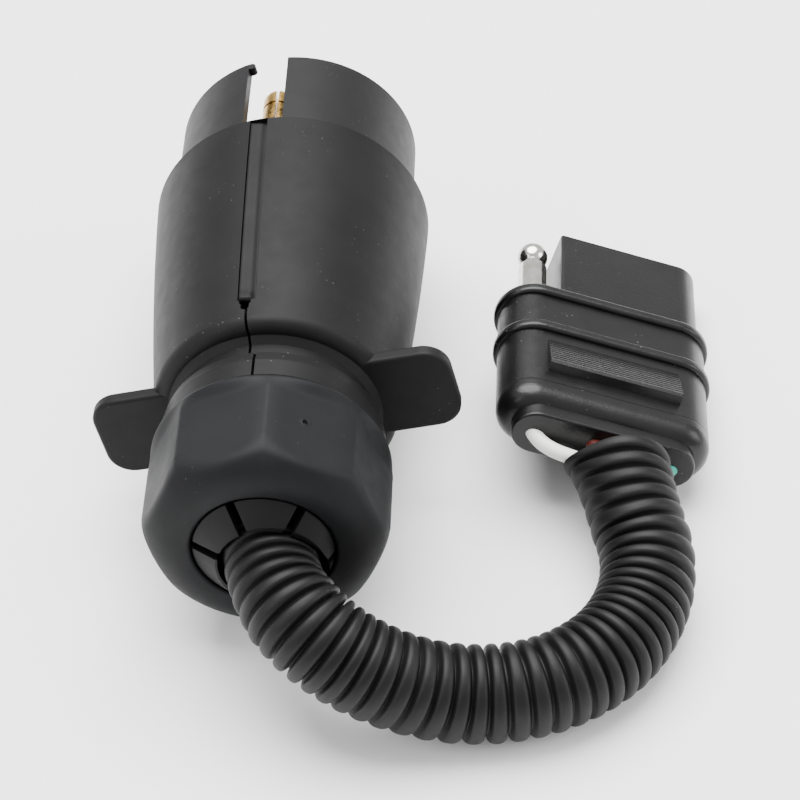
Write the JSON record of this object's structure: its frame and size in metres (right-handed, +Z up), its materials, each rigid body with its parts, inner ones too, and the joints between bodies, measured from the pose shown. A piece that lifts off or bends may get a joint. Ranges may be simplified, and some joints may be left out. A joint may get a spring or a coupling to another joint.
{
  "type": "trailer wiring connector",
  "caption": "Round plug with keyed nose, winged two-shell housing and gland nut, joined by a short corrugated conduit to a flat connector with a bullet and socket block.",
  "frame": {"origin": "centre of the round plug's open nose rim, on the plug's axis", "axes": "+Y out of the nose along the plug's axis, +Z up from the surface that the connector lies on, +X towards the flat connector"},
  "size_m": [0.0927, 0.1106, 0.0427],
  "materials": {
    "housing": "moulded, fine grain",
    "nut": "moulded, satin",
    "insert": "moulded, satin",
    "clamp": "moulded, smooth",
    "conduit": "corrugated, semi-gloss",
    "soft_moulding": "soft PVC, glossy, dusty",
    "brass_contact": "turned, lightly dulled",
    "nickel": "nickel plated",
    "screw_steel": "zinc plated",
    "white_pvc": "extruded insulation",
    "brown_pvc": "extruded insulation",
    "yellow_pvc": "extruded insulation",
    "green_pvc": "extruded insulation"
  },
  "bodies": {
    "root": {"contact_insert": "insert", "contact_pin_1": "brass_contact", "contact_pin_2": "brass_contact", "contact_pin_3": "brass_contact", "contact_pin_4": "brass_contact", "contact_pin_5": "brass_contact", "contact_pin_6": "brass_contact", "contact_pin_7": "brass_contact", "terminal_screws": "screw_steel", "shell_left": "housing", "shell_right": "housing", "film_hinge": "housing", "closing_screw": "screw_steel", "conduit": "conduit", "wire_white": "white_pvc", "wire_brown": "brown_pvc", "wire_yellow": "yellow_pvc", "wire_green": "green_pvc", "flat_connector_body": "soft_moulding", "bullet_terminal": "nickel", "socket_terminal_1": "nickel", "socket_terminal_2": "nickel", "socket_terminal_3": "nickel"},
    "clamp_collet": {"clamp_collet": "clamp"},
    "gland_nut": {"gland_nut": "nut"}
  },
  "joints": [
    {"name": "collet_slide", "type": "slide", "parent": "root", "child": "clamp_collet", "axis": [0, -1, 0], "range_m": [0, 0.002]},
    {"name": "nut_turn", "type": "hinge", "parent": "clamp_collet", "child": "gland_nut", "pos_m": [0, -0.08, 0], "axis": [0, -1, 0], "range_deg": [0, 360]}
  ],
  "couplings": [
    {"joint": "collet_slide", "follows": "nut_turn", "m_per_rad": 0.0003183}
  ]
}
